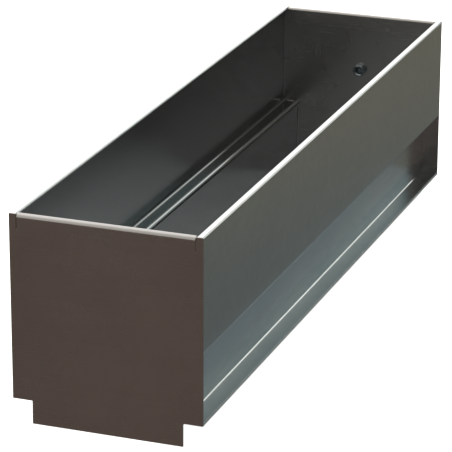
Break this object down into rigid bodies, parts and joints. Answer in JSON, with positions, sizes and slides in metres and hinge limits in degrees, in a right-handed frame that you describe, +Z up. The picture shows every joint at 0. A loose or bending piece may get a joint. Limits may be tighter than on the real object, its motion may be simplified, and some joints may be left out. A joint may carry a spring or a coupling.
{
  "type": "trough feeder",
  "caption": "Long folded-steel feed trough with stepped sides, hemmed rims, T-shaped end plates with folded tops and a shallow pan.",
  "frame": {"origin": "middle of the underside of the pan, on the ground", "axes": "+Z up; +Y along the trough towards the bolted rear end plate; +X to the right side seen from the front end plate"},
  "size_m": [0.25, 1.016, 0.272],
  "materials": {
    "brushed_sheet": "bright galvanised sheet, satin",
    "pan_steel": "dull galvanised sheet",
    "coated_plate": "steel with a thin warm brown lacquer, satin",
    "zinc_fastener": "zinc plated",
    "weld_metal": "as welded, brushed off"
  },
  "bodies": {
    "root": {"front_end_plate": "coated_plate", "rear_end_plate": "coated_plate", "feed_pan": "pan_steel", "left_side_profile": "brushed_sheet", "right_side_profile": "brushed_sheet", "rear_bolt": "zinc_fastener", "rear_outer_washer": "zinc_fastener", "rear_inner_washer": "zinc_fastener", "rear_hex_nut": "zinc_fastener", "front_pan_weld": "weld_metal", "rear_pan_weld": "weld_metal", "left_pan_seam_weld": "weld_metal", "right_pan_seam_weld": "weld_metal", "front_left_panel_weld": "weld_metal", "front_left_ledge_weld": "weld_metal", "front_left_throat_weld": "weld_metal", "front_right_panel_weld": "weld_metal", "front_right_ledge_weld": "weld_metal", "front_right_throat_weld": "weld_metal", "rear_left_panel_weld": "weld_metal", "rear_left_ledge_weld": "weld_metal", "rear_left_throat_weld": "weld_metal", "rear_right_panel_weld": "weld_metal", "rear_right_ledge_weld": "weld_metal", "rear_right_throat_weld": "weld_metal"}
  },
  "joints": []
}
